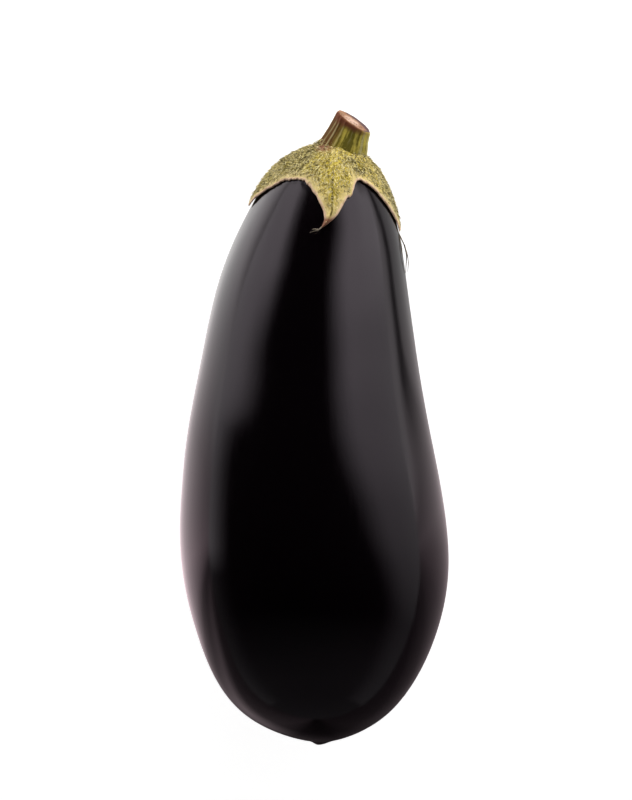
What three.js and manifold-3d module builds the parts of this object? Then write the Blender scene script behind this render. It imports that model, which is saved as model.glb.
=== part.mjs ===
// An eggplant lying on its belly with its stem towards +Y.
// Its three organs are closed solids: the fruit, the leathery calyx that caps it, and the cut stem.
// Each is drawn in the fruit's own frame, X to the side, Y along the fruit from the blossom end
// and Z away from the belly, and is then laid down. Millimetres, +Z up. The origin is on the
// surface that the fruit lies on, under the middle of the whole.

import * as THREE from 'three';
import { NURBSCurve } from 'three/addons/curves/NURBSCurve.js';
import { mergeVertices } from 'three/addons/utils/BufferGeometryUtils.js';
import Module from 'manifold-3d';

const wasm = await Module();
wasm.setup();

// ---- driving dimensions: millimetres, and angles in degrees ----

const LYING_DIP = 7;          // how far the stem end dips as the fruit lies on its belly
const BELLY_FLAT_DEPTH = 0.8; // how deep its weight presses the belly flat
const DEPTH_TO_WIDTH = 0.96;  // the fruit is a little less deep than wide
const CLEARANCE = 0.3;        // from one solid to the next

// Half outline of the fruit from the blossom end to the crown, as the control points of a smooth
// curve: [radius, height along the fruit, sideways drift of the middle].
const OUTLINE = [
  [0, 1, 2],
  [6, 1, 2],
  [28.5, 7.5, -0.5],
  [43, 39, 1],
  [48.4, 65, 0],
  [44.9, 94.5, -1.5],
  [41.9, 113, -2.4],
  [37.5, 136, -2],
  [33.4, 162.5, -1.3],
  [25.6, 190, 2.8],
  [14, 207, 3.5],
  [0, 207, 5],
];
const OUTLINE_DIVISIONS = 1000;  // for measuring along it
const FRUIT_SIDES = 56;
const FRUIT_RINGS = 38;

// The dry scar of the flower, a low boss on the blossom end.
const SCAR = { x: 1, z: 0, radius: 6, height: 1 };

// The calyx: five sepals grown together round the stem. Reaches are measured over the skin from
// the crown. `from` and `to` are the angles at which a sepal's two sides leave the common rim, and
// `tapers` how each of them curves in to the tip. The tip stands off the skin by `stands` and
// hooks sideways by `hook`.
const RIM_REACH = 24;
const SEPALS = [
  { tip: 6, from: -36, to: 53, reach: 43, tapers: [1.5, 1.3], stands: 0.1, hook: 0 },
  { tip: 82, from: 53, to: 116, reach: 43.6, tapers: [1.75, 2.1], stands: 0.3, hook: 3.6 },
  { tip: 174, from: 128, to: 206, reach: 33.5, tapers: [1.15, 1.4], stands: 0.4, hook: -1 },
  { tip: 238, from: 212, to: 265, reach: 39, tapers: [1.6, 1.4], stands: 0.6, hook: 2 },
  { tip: 298, from: 269, to: 320, reach: 41, tapers: [1.4, 1.6], stands: 0.6, hook: -2 },
];
const HOOK_START = 36.5;          // the reach at which a hook starts to turn
const CALYX_HOLE_RADIUS = 6.8;    // inside the stem, which cuts the true hole
const CALYX_CROWN_THICKNESS = 4.9;
const CALYX_EDGE_THICKNESS = 0.8;
const CALYX_THINNING = 0.36;      // below 1, the calyx thins fastest next to the stem
const CALYX_SIDES = 90;
const CALYX_STATIONS = [0, 0.14, 0.28, 0.42, 0.56, 0.7, 0.85, 1];

// The stem stands beside the middle of the crown, leans to +X and is cut off at a slant.
const STEM_OFFSET = { x: 4.5, z: 1 };
const STEM_FOOT = new THREE.Vector3(7.5, 204, 1);
const STEM_CUT_CENTRE = new THREE.Vector3(13.6, 218, 3);
const STEM_CUT_NORMAL = new THREE.Vector3(0.55, 0.79, 0.28).normalize();
const STEM_RADII = [9.8, 9.4, 8.8, 8.1, 7.4, 7, 6.9];   // from the foot to the cut
const STEM_SIDES = 30;
const STEM_RIBS = 6;
const STEM_RIB_HEIGHT = 0.3;
const CUTTER_OVERRUN = 3;         // how far the cutter for its hole runs past the stem
const TABLE_DEPTH = 20;           // the block that presses the belly flat

// ---- solids from nets ----

// A closed net of rings round the Y axis, one ring for each station. A lathe gives the net, and
// `place` puts the vertex of each angle and station where it belongs.
function ringNet(sides, stations, place) {
  const profile = stations.map((_, ring) => new THREE.Vector2(1, ring));
  const geometry = new THREE.LatheGeometry(profile, sides);
  const { position, uv } = geometry.attributes;
  for (let i = 0; i < position.count; i += 1) {
    const angle = Math.PI / 2 - 2 * Math.PI * uv.getX(i);
    const station = stations[Math.round(uv.getY(i) * (stations.length - 1))];
    const point = place(angle, station);
    position.setXYZ(i, point.x, point.y, point.z);
  }
  return geometry.rotateX(-THREE.MathUtils.degToRad(LYING_DIP));
}

function solidOf(geometry) {
  geometry.deleteAttribute('normal');
  geometry.deleteAttribute('uv');
  const merged = mergeVertices(geometry);
  const corners = merged.index.array;
  const faces = [];
  for (let i = 0; i < corners.length; i += 3) {
    const [a, b, c] = corners.slice(i, i + 3);
    if (a !== b && b !== c && c !== a) faces.push(a, b, c);   // a pole folds half its faces away
  }
  return new wasm.Manifold(new wasm.Mesh({
    numProp: 3,
    vertProperties: merged.attributes.position.array,
    triVerts: new Uint32Array(faces),
  }));
}

function meshOf(name, solid, look) {
  const { vertProperties, triVerts } = solid.getMesh();
  const geometry = new THREE.BufferGeometry();
  geometry.setAttribute('position', new THREE.BufferAttribute(vertProperties, 3));
  geometry.setIndex(new THREE.BufferAttribute(triVerts, 1));
  geometry.computeVertexNormals();
  const mesh = new THREE.Mesh(geometry, new THREE.MeshStandardMaterial(look));
  mesh.name = name;
  return mesh;
}

// ---- the fruit ----

const order = 3;
const spans = OUTLINE.length - order;
const knots = Array.from({ length: OUTLINE.length + order + 1 },
  (_, i) => THREE.MathUtils.clamp((i - order) / spans, 0, 1));
const outline = new NURBSCurve(order, knots, OUTLINE.map((p) => new THREE.Vector4(...p, 1)));
outline.arcLengthDivisions = OUTLINE_DIVISIONS;
const outlineLength = outline.getLength();

// 1 at the middle, falling smoothly to 0 at `reach` and beyond.
function bump(distance, reach) {
  return 1 - THREE.MathUtils.smoothstep(Math.abs(distance), 0, reach);
}

function degreesApart(a, b) {
  return THREE.MathUtils.euclideanModulo(a - b + 180, 360) - 180;
}

// The point of the skin at an angle round the fruit and a distance over the skin from the
// blossom end, raised by `lift`.
function skinPoint(angle, along, lift = 0) {
  const share = THREE.MathUtils.clamp(along / outlineLength, 0, 1);
  const middle = outline.getPointAt(share);
  const slope = outline.getTangentAt(share);
  const radius = middle.x + lift * slope.y;
  const x = middle.z + radius * Math.cos(angle);
  const z = radius * Math.sin(angle) * DEPTH_TO_WIDTH;
  const nearBlossomEnd = share < 0.5;
  const scar = nearBlossomEnd ? SCAR.height * bump(Math.hypot(x - SCAR.x, z - SCAR.z), SCAR.radius) : 0;
  return new THREE.Vector3(x, middle.y - lift * slope.x - scar, z);
}

function fruitSolid(lift = 0) {
  const rings = Array.from({ length: FRUIT_RINGS + 1 },
    (_, i) => outlineLength * (1 - Math.cos(Math.PI * i / FRUIT_RINGS)) / 2);
  return solidOf(ringNet(FRUIT_SIDES, rings, (angle, along) => skinPoint(angle, along, lift)));
}

function flattenBelly(fruit) {
  const { min, max } = fruit.boundingBox();
  const table = new THREE.BoxGeometry(2 * (max[0] - min[0]), 2 * (max[1] - min[1]), TABLE_DEPTH);
  table.translate(0, (min[1] + max[1]) / 2, min[2] + BELLY_FLAT_DEPTH - TABLE_DEPTH / 2);
  return fruit.subtract(solidOf(table));
}

// ---- the stem ----

// Rings up the stem from the foot to the cut, turning from level to the slant of the cut.
// `growth` makes the whole stem thicker and `overrun` makes it longer.
function stemSolid(growth = 0, overrun = 0) {
  const last = STEM_RADII.length - 1;
  const stations = [-1, ...STEM_RADII.keys(), last + 1];
  const lean = STEM_CUT_CENTRE.clone().sub(STEM_FOOT).normalize();
  return solidOf(ringNet(STEM_SIDES, stations, (angle, station) => {
    const ring = THREE.MathUtils.clamp(station, 0, last);
    const share = ring / last;
    const centre = STEM_FOOT.clone().lerp(STEM_CUT_CENTRE, share);
    centre.addScaledVector(lean, share === 1 ? overrun : 0);
    if (ring !== station) return centre;
    const up = new THREE.Vector3(0, 1, 0).lerp(STEM_CUT_NORMAL, share).normalize();
    const tilt = new THREE.Quaternion().setFromUnitVectors(new THREE.Vector3(0, 1, 0), up);
    const rib = STEM_RIB_HEIGHT * Math.cos(STEM_RIBS * angle);
    const radius = STEM_RADII[ring] + rib + growth;
    const spoke = new THREE.Vector3(radius * Math.cos(angle), 0, radius * Math.sin(angle));
    return spoke.applyQuaternion(tilt).add(centre);
  }));
}

// ---- the calyx ----

// The sepal that an angle belongs to, as its reach there, the reach of its tip, how far it stands
// off the skin and how far it hooks.
function sepalAt(angle) {
  const degrees = THREE.MathUtils.radToDeg(angle);
  for (const { tip, from, to, reach, tapers, stands, hook } of SEPALS) {
    const aside = degreesApart(degrees, tip);
    const width = degreesApart(aside < 0 ? from : to, tip);
    const share = aside === 0 ? 0 : aside / width;
    if (share >= 0 && share < 1) {
      const rise = (1 - share) ** tapers[aside < 0 ? 0 : 1];
      return { reach: RIM_REACH + (reach - RIM_REACH) * rise, tipReach: reach, stands: stands * rise, hook };
    }
  }
  return { reach: RIM_REACH, tipReach: RIM_REACH, stands: 0, hook: 0 };
}

// The angle by which a sepal's hook turns a point at this reach.
function sideways(reach, { tipReach, hook }) {
  if (reach <= HOOK_START) return 0;
  const beyond = (reach - HOOK_START) / (tipReach - HOOK_START);
  return hook * beyond ** 2 / outline.getPointAt(1 - reach / outlineLength).x;
}

// The calyx is drawn on a flat map of the crown, where the stem stands a little to one side, and
// wrapped over the skin. A station is its share of the way from the stem to the edge and its face.
function calyxPoint(angle, { share, outer }) {
  const edge = sepalAt(angle);
  const reach = CALYX_HOLE_RADIUS + (edge.reach - CALYX_HOLE_RADIUS) * share;
  const turned = angle + sideways(reach, edge);
  const aside = 1 - THREE.MathUtils.smoothstep(reach, 0, RIM_REACH);
  const x = reach * Math.cos(turned) + STEM_OFFSET.x * aside;
  const z = reach * Math.sin(turned) + STEM_OFFSET.z * aside;
  const thin = THREE.MathUtils.lerp(CALYX_CROWN_THICKNESS, CALYX_EDGE_THICKNESS, share ** CALYX_THINNING);
  const lift = CLEARANCE + edge.stands * share ** 3 + (outer ? thin : 0);
  return skinPoint(Math.atan2(z, x), outlineLength - Math.hypot(x, z), lift);
}

function calyxSolid() {
  const inner = CALYX_STATIONS.map((share) => ({ share, outer: false }));
  const outer = CALYX_STATIONS.map((share) => ({ share, outer: true })).reverse();
  return solidOf(ringNet(CALYX_SIDES, [...outer, ...inner, outer[0]], calyxPoint));
}

// ---- the eggplant ----

const fruit = flattenBelly(fruitSolid());
const calyx = calyxSolid().subtract(stemSolid(CLEARANCE, CUTTER_OVERRUN));
const stem = stemSolid().subtract(fruitSolid(CLEARANCE));

const eggplant = new THREE.Group();
eggplant.name = 'eggplant';
eggplant.add(
  meshOf('fruit', fruit, { color: 0x1a0f18, roughness: 0.22, metalness: 0 }),
  meshOf('calyx', calyx, { color: 0xa5965a, roughness: 0.85, metalness: 0 }),
  meshOf('stem', stem, { color: 0x8a7a34, roughness: 0.75, metalness: 0 }),
);

const box = new THREE.Box3().setFromObject(eggplant);
const middle = box.getCenter(new THREE.Vector3());
eggplant.position.set(-middle.x, -middle.y, -box.min.z);

export default eggplant;
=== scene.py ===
# An eggplant lying on its belly: the finished fruit, calyx and stem, and a plain pale studio.
#
# The formulas work in millimetres in the fruit's own frame: X to the side, Y along the fruit from
# the blossom end to the stem, and Z away from the belly. An angle goes round the fruit from +X
# towards +Z, and a reach is a distance over the skin from the crown. lay_down() takes points from
# there to the shared frame, where the stem end dips.

from math import atan, cos, pi, radians, sin

import bmesh
import bpy
import numpy as np
from mathutils import Matrix, Vector, noise


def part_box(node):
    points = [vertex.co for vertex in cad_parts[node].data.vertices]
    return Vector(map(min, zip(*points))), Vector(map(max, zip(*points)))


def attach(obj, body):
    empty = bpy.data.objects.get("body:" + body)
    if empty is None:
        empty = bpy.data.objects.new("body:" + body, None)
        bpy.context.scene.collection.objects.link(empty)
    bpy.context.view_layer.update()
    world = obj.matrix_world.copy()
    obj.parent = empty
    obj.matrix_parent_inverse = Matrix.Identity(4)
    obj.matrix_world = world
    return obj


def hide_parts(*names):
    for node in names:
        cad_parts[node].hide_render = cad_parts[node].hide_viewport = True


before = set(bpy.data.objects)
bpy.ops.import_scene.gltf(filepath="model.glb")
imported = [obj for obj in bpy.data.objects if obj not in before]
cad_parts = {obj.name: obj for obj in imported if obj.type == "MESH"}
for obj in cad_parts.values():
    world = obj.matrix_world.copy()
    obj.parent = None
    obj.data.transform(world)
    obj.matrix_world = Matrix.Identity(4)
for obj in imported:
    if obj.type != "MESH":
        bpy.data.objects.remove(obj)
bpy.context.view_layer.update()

bl_info = {
    "name": "Eggplant",
    "version": (1, 0, 0),
    "blender": (4, 5, 0),
    "location": "3D View > Sidebar > Eggplant",
    "description": "Builds an eggplant's fruit, calyx and stem, and a studio round them",
    "category": "Object",
}

MM = 0.001
PANEL_LIFT = 0.4 * MM  # from the floor to the low panel
LYING_DIP = radians(7)

# Half outline of the fruit, from the blossom end to the crown, as the control points of a smooth
# curve: radius, height along the fruit, sideways drift of the middle.
OUTLINE = [
    (0, 1, 2), (6, 1, 2), (28.5, 7.5, -0.5), (43, 39, 1), (48.4, 65, 0), (44.9, 94.5, -1.5),
    (41.9, 113, -2.4), (37.5, 136, -2), (33.4, 162.5, -1.3), (25.6, 190, 2.8), (14, 207, 3.5), (0, 207, 5),
]
OUTLINE_SAMPLES = 6000  # for measuring along it
GROOVE_ANGLES = (52, 119, 210, 267, 321)
POLE_FADE = 10  # the radius within which the grooves fade out towards the crown
SCAR_CENTRE = (1, 0)

# Each sepal: the angle of its tip, where its two sides leave the common rim, its reach, how fast
# each side runs in to the tip, how far the tip stands off the skin, and how far it hooks sideways.
SEPALS = [
    dict(tip=6, sides=(-36, 53), reach=43, taper=(1.5, 1.3), stands=0.1, hook=0),
    dict(tip=81.5, sides=(53, 116), reach=43.6, taper=(1.75, 2.1), stands=0.4, hook=3.6),
    dict(tip=174, sides=(128, 206), reach=33.5, taper=(1.15, 1.4), stands=0.4, hook=-1),
    dict(tip=238, sides=(212, 265), reach=39, taper=(1.6, 1.4), stands=0.6, hook=2),
    dict(tip=298, sides=(269, 320), reach=41, taper=(1.4, 1.6), stands=0.6, hook=-2),
]
# The front sepal steps in from its right side: how far, and where on the way to that side.
FRONT_SEPAL = 1
FRONT_STEP = dict(rise=0.13, at=0.6, width=0.13)
HOOK_START = 36.5  # the reach at which a hook starts to turn
CALYX_RADIUS = 22  # about how far from the fruit's middle the calyx's rim lies
CALYX_THINNING = 0.36  # below 1, the calyx thins fastest next to the stem
CALYX_CLEARANCE = 0.15  # from the skin to the calyx's inner face
HOLE_INSET = 2.4  # how far inside the stem's bark the hole of the calyx lies
CALYX_ROWS = (64, 14)  # points from the stem to the edge on the outer face and on the inner one

# The stem: its foot on the crown, the middle and the square of its slanting cut, and its radii
# from foot to cut.
STEM_OFFSET = (4.5, 1)
STEM_FOOT = Vector((7.5, 204, 1))
STEM_CUT_CENTRE = Vector((13.6, 218, 3))
STEM_CUT_NORMAL = Vector((0.55, 0.79, 0.28)).normalized()
STEM_RADII = (9.8, 9.4, 8.8, 8.1, 7.4, 7, 6.9)
BARK_ROWS = 72  # points up the bark from foot to cut
CUT_ROWS = 40  # points over the cut from its rim to the middle
# The ribs along the stem: angle and half width in degrees, and height as a share of the highest.
STEM_RIBS = [
    (10, 13, 1), (44, 9, 0.7), (82, 6, 0.45), (112, 5, 0.6), (131, 4, 0.75), (146, 5, 0.65), (172, 8, 0.5),
    (205, 9, 0.8), (240, 7, 0.6), (275, 10, 0.9), (310, 8, 0.7), (338, 6, 0.5),
]

# A brown bruise on the front of the calyx, at the left foot of the stem.
BRUISE = (3.2, 208.2)

# Dry threads at two sepal tips, each a few points in the fruit's own frame.
THREADS = [
    [(28.4, 180.5, 3.2), (29.9, 177.4, 3.6), (31.2, 174.6, 3.6), (32.2, 171.4, 3.4), (32.6, 168.2, 3.1),
     (32.3, 165.4, 2.9)],
    [(31.2, 174.8, 3.4), (31.9, 171.4, 3.9), (31.8, 168.2, 3.9), (31.6, 165, 4.1)],
    [(29.2, 178.6, 3.3), (30.2, 173.6, 4.4), (30.4, 169.4, 4.8), (30.5, 165.6, 4.6)],
    [(2.2, 179.5, 28.4), (0.9, 178.5, 28.9), (-0.5, 178.2, 29.2), (-1.7, 177.7, 29)],
    [(1, 178.8, 28.8), (0, 178.9, 29.3), (-0.9, 178.8, 29.5)],
]


# ---- small helpers ----


def linear(hex_colour):
    """An sRGB hex colour as linear red, green, blue and alpha."""
    channels = [int(hex_colour[i:i + 2], 16) / 255 for i in (1, 3, 5)]
    return [c / 12.92 if c <= 0.04045 else ((c + 0.055) / 1.055) ** 2.4 for c in channels] + [1.0]


def add(tree, kind, *values, sockets=None, **settings):
    """Adds a node to a tree with its settings, and fills its inputs, by number or by name, with
    values, sockets or the first output of other nodes."""
    node = tree.nodes.new(kind)
    for name, value in settings.items():
        setattr(node, name, value)
    for key, value in [*enumerate(values), *(sockets or {}).items()]:
        if isinstance(value, bpy.types.Node):
            value = next(output for output in value.outputs if output.enabled)
        if isinstance(value, bpy.types.NodeSocket):
            tree.links.new(value, node.inputs[key])
        elif value is not None:
            node.inputs[key].default_value = value
    return node


def ramp(tree, share, stops):
    """Colours looked up by a share from 0 to 1, from stops of position and colour."""
    table = add(tree, "ShaderNodeValToRGB", share)
    elements = table.color_ramp.elements
    for position, _ in stops[1:-1]:
        elements.new(position)
    for element, (_, tint) in zip(elements, stops):
        element.color = tint
    return table.outputs["Color"]


def levels(tree, value, stops):
    """A number looked up by another one, from stops of input and output."""
    low, high = stops[0][0], stops[-1][0]
    most = max(output for _, output in stops)
    share = add(tree, "ShaderNodeMapRange", value, sockets={"From Min": low, "From Max": high})
    greys = [((at - low) / (high - low), (*[output / most] * 3, 1)) for at, output in stops]
    return add(tree, "ShaderNodeMath", ramp(tree, share, greys), most, operation="MULTIPLY")


def smooth(value, low, high):
    """0 below low, 1 above high, and a smooth rise between."""
    share = np.clip((value - low) / (high - low), 0, 1)
    return share * share * (3 - 2 * share)


def degrees_from(angle, middle):
    """How far an angle in radians is from one in degrees, as degrees from -180 to 180."""
    return (np.degrees(angle) - middle + 180) % 360 - 180


def noise_at(points, size, seed=0):
    """Smooth noise from -1 to 1 at each point, with lumps of about `size`."""
    shift = Vector((seed * 17.3, seed * 5.1, seed * 9.7))
    return np.array([noise.noise(Vector(point) / size + shift) for point in points])


def in_scene(name, data):
    """A new object in the scene."""
    thing = bpy.data.objects.new(name, data)
    bpy.context.scene.collection.objects.link(thing)
    return thing


def new_tree(name, inputs):
    """A geometry node tree with these inputs, and the outputs of its input node."""
    tree = bpy.data.node_groups.new(name, "GeometryNodeTree")
    for label, kind in inputs.items():
        tree.interface.new_socket(name=label, in_out="INPUT", socket_type="NodeSocket" + kind)
    tree.interface.new_socket(name="Geometry", in_out="OUTPUT", socket_type="NodeSocketGeometry")
    return tree, add(tree, "NodeGroupInput").outputs


def end_tree(tree, geometry, material):
    """Ends a tree in real faces that have their material."""
    single = add(tree, "GeometryNodeRealizeInstances", geometry)
    finished = add(tree, "GeometryNodeSetMaterial", single, sockets={"Material": material})
    add(tree, "NodeGroupOutput", finished)


def finish_piece(name, mesh, stands_for=()):
    """Closes a mesh, turns its faces outwards, smooths it and gives it its place in the frame."""
    shape = bmesh.new()
    shape.from_mesh(mesh)
    bmesh.ops.remove_doubles(shape, verts=shape.verts, dist=1e-7)
    bmesh.ops.recalc_face_normals(shape, faces=shape.faces)
    shape.to_mesh(mesh)
    shape.free()
    mesh.shade_smooth()
    piece = in_scene(name, mesh)
    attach(piece, "root")
    if stands_for:
        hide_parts(*stands_for)
    return piece


# ---- the fruit's skin as a formula ----


def spline_points(controls, samples):
    """Points along a cubic B-spline that starts and ends on its first and last control point."""
    degree = 3
    count = len(controls)
    knots = np.clip((np.arange(count + degree + 1) - degree) / (count - degree), 0, 1)
    along = np.linspace(0, 1 - 1e-9, samples)[:, None]
    weights = ((knots[:-1] <= along) & (along < knots[1:])).astype(float)
    for d in range(1, degree + 1):
        rise = knots[d:-1] - knots[:-d - 1]
        fall = knots[d + 1:] - knots[1:-d]
        rising = np.where(rise > 0, (along - knots[:-d - 1]) / np.where(rise > 0, rise, 1), 0)
        falling = np.where(fall > 0, (knots[d + 1:] - along) / np.where(fall > 0, fall, 1), 0)
        weights = rising * weights[:, :-1] + falling * weights[:, 1:]
    return weights @ np.array(controls, float)


class Skin:
    """The surface of the fruit, as points at an angle, a reach from the crown and a lift."""

    def __init__(self, sizes):
        line = spline_points(OUTLINE, OUTLINE_SAMPLES)[::-1]
        steps = np.linalg.norm(np.diff(line, axis=0), axis=1)
        self.reaches = np.concatenate([[0], np.cumsum(steps)])
        self.line = line
        self.slope = np.gradient(line, self.reaches, axis=0)
        self.sizes = sizes

    def radius(self, reach):
        return np.interp(reach, self.reaches, self.line[:, 0])

    def groove(self, angle, height):
        apart = [np.abs(degrees_from(angle, at)) for at in GROOVE_ANGLES]
        across = np.max([1 - smooth(a, 0, np.degrees(self.sizes.groove_width)) for a in apart], axis=0)
        return self.sizes.groove_depth * across * smooth(height, *self.sizes.groove_span)

    def points(self, angle, reach, lift=0.0):
        radius, height, drift = (np.interp(reach, self.reaches, self.line[:, i]) for i in range(3))
        slope_out, slope_up = (np.interp(reach, self.reaches, self.slope[:, i]) for i in range(2))
        groove = np.minimum(radius / POLE_FADE, 1) * self.groove(angle, height)
        radius = radius - lift * slope_up - groove
        return np.stack([
            drift + radius * np.cos(angle),
            height + lift * slope_out,
            radius * np.sin(angle) * self.sizes.depth_to_width,
        ], axis=-1)


def frame_shift():
    """Where the fruit's own frame lies in the shared one, from the boxes of the CAD fruit."""
    sizes = bpy.context.scene.eggplant_fruit
    angles, reaches = np.meshgrid(np.linspace(0, 2 * pi, 361), Skin(sizes).reaches[::10])
    skin = Skin(sizes).points(angles.ravel(), reaches.ravel())
    turned = skin @ np.array(Matrix.Rotation(-LYING_DIP, 3, "X")).T * MM
    low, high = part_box("fruit")
    return Vector((
        (low.x + high.x - turned[:, 0].min() - turned[:, 0].max()) / 2,
        high.y - turned[:, 1].max(),
        high.z - turned[:, 2].max(),
    ))


def lay_down():
    """The matrix from the fruit's own frame, in millimetres, to the shared frame."""
    return Matrix.Translation(frame_shift()) @ Matrix.Rotation(-LYING_DIP, 4, "X") @ Matrix.Scale(MM, 4)


def ring_mesh(name, points, attributes):
    """A mesh on a grid of points, rows by angles, that closes round the angles. Attributes are
    arrays of the same grid, of one number or three for each point."""
    rows, sides = points.shape[:2]
    corner = np.arange(rows * sides).reshape(rows, sides)
    ahead = np.roll(corner, -1, axis=1)
    faces = np.stack([corner[:-1], ahead[:-1], ahead[1:], corner[1:]], axis=-1).reshape(-1, 4)
    mesh = bpy.data.meshes.new(name)
    mesh.from_pydata(points.reshape(-1, 3).tolist(), [], faces.tolist())
    for key, values in attributes.items():
        kind, field = ("FLOAT_VECTOR", "vector") if values.ndim == 3 else ("FLOAT", "value")
        layer = mesh.attributes.new(key, kind, "POINT")
        layer.data.foreach_set(field, np.ascontiguousarray(values, np.float32).ravel())
    mesh.transform(lay_down())
    return mesh


# ---- sizes and colours ----


def amount(name, words, value):
    return bpy.props.FloatProperty(name=name, description=words, default=value, min=0)


def whole(name, words, value):
    return bpy.props.IntProperty(name=name, description=words, default=value)


def colour(name, words, value):
    return bpy.props.FloatVectorProperty(name=name, description=words, subtype="COLOR", size=4,
                                         default=linear(value), min=0, max=1)


class FruitSettings(bpy.types.PropertyGroup):
    """Sizes of the fruit in millimetres, and the colours of its skin."""
    depth_to_width: amount("Depth to Width", "Depth of the fruit as a share of its width", 0.96)
    groove_depth: amount("Groove Depth", "Depth of the shoulder grooves, in millimetres", 0.15)
    groove_width: bpy.props.FloatProperty(
        name="Groove Width", description="Half width of a shoulder groove, as an angle",
        default=radians(9), subtype="ANGLE")
    groove_span: bpy.props.FloatVectorProperty(
        name="Groove Span", description="Heights where the grooves fade out and are full, in millimetres",
        default=(120, 200), size=2)
    scar_height: amount("Scar Height", "How far the flower scar stands out, in millimetres", 1)
    scar_radius: amount("Scar Radius", "Radius of the flower scar, in millimetres", 6)
    lump_height: amount("Lump Height", "Height of the skin's slow waves, in millimetres", 0.22)
    lump_size: amount("Lump Size", "Length of the skin's slow waves, in millimetres", 42)
    rings: whole("Rings", "Rings of faces along the fruit", 280)
    sides: whole("Sides", "Faces round the fruit", 224)
    skin: colour("Skin", "Nearly black purple of the ripe skin", "#060305")
    bloom: colour("Bloom", "Warmer purple towards the blossom end", "#140a12")
    scar: colour("Scar", "Dry cork of the flower scar", "#4a3426")


class CalyxSettings(bpy.types.PropertyGroup):
    """Sizes of the calyx in millimetres, and the colours of its felt."""
    rim_reach: amount("Rim Reach", "How far the common rim reaches over the skin", 24)
    crown_thickness: amount("Crown Thickness", "Thickness at the stem, in millimetres", 4.9)
    edge_thickness: amount("Edge Thickness", "Thickness at the edge, in millimetres", 0.65)
    edge_stand: amount("Edge Stand", "Gap under the edge, in millimetres", 0.12)
    ragged: amount("Ragged Edge", "How far the edge is torn in and out, in millimetres", 0.55)
    sides: whole("Sides", "Faces round the calyx", 720)
    hairs: whole("Felt Hairs", "Number of felt hairs, if they grew as thickly everywhere", 13000)
    hair_length: amount("Hair Length", "Length of a felt hair, in millimetres", 1.4)
    hair_width: amount("Hair Width", "Width of a felt hair at its root, in millimetres", 0.24)
    seed: whole("Seed", "Seed of the felt's placing", 7)
    # Leaf is the body colour on the painted lit side; the next colour is the same body as painted shade.
    leaf: colour("Leaf", "Yellow olive body of the sunny side", "#c6af42")
    painted_shade_leaf: colour("Green Leaf", "Olive body of the shaded side", "#9c8d3c")
    shade: colour("Shade", "Dark olive between the fibres", "#453b12")
    felt: colour("Felt", "Pale straw felt", "#e8dba6")
    straw: colour("Straw", "Bleached straw next to the edge", "#e0ca8e")
    margin: colour("Margin", "Pinkish tan of the dry edge", "#ecc9ac")
    burnt: colour("Burnt Tip", "Red brown of dried tips and bruises", "#784634")


class StemSettings(bpy.types.PropertyGroup):
    """Sizes of the stem in millimetres, and the colours of its bark and its cut."""
    rib_height: amount("Rib Height", "Height of the stem's ribs, in millimetres", 0.38)
    sides: whole("Sides", "Faces round the stem", 256)
    thread_width: amount("Thread Width", "Width of the dry threads, in millimetres", 0.55)
    green: colour("Green", "Olive green of the bark", "#b5a444")
    pale: colour("Pale", "Pale cream ribs", "#d2c78e")
    # Brown colours the darker left side of the stem: partly the bark's own brown, partly painted shade.
    brown: colour("Brown", "Dark brown weathered side", "#5a3a12")
    cut: colour("Cut", "Pinkish pale wood of the cut", "#a87e62")
    pith: colour("Pith", "Lighter pith in the middle", "#cbaa94")
    rim: colour("Rim", "Dark dried rim of the cut", "#5e464a")


class StudioSettings(bpy.types.PropertyGroup):
    """The camera, the floor and the light round the eggplant."""
    distance: bpy.props.FloatProperty(
        name="Camera Distance", description="From the camera to the fruit", default=1.1, unit="LENGTH")
    view_height: bpy.props.FloatProperty(
        name="View Height", description="Height of the camera's view at the fruit", default=0.28,
        unit="LENGTH")
    aim: bpy.props.FloatVectorProperty(
        name="Aim", description="Point that the camera looks at, in the fruit's own millimetres",
        default=(0.35, 120.7, 0), size=3)
    floor_size: bpy.props.FloatProperty(
        name="Floor Size", description="Side of the square floor", default=3, unit="LENGTH")
    floor_glow: amount("Floor Glow", "Light that the backlit floor gives off", 0.88)
    light: amount("Light", "Strength of the soft panels round the fruit", 1.0)
    floor: colour("Floor", "Plain white floor", "#f0efee")
    backdrop: colour("Backdrop", "Plain pale backdrop", "#ffffff")
    panel: colour("Low Panel", "Rosy white of the low panel that the skin's gloss shows", "#ffe8ee")


SETTINGS = {
    "eggplant_fruit": FruitSettings,
    "eggplant_calyx": CalyxSettings,
    "eggplant_stem": StemSettings,
    "eggplant_studio": StudioSettings,
}


# ---- materials ----


def new_material(name):
    material = bpy.data.materials.new(name)
    material.use_nodes = True
    material.node_tree.nodes.clear()
    return material, material.node_tree


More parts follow.
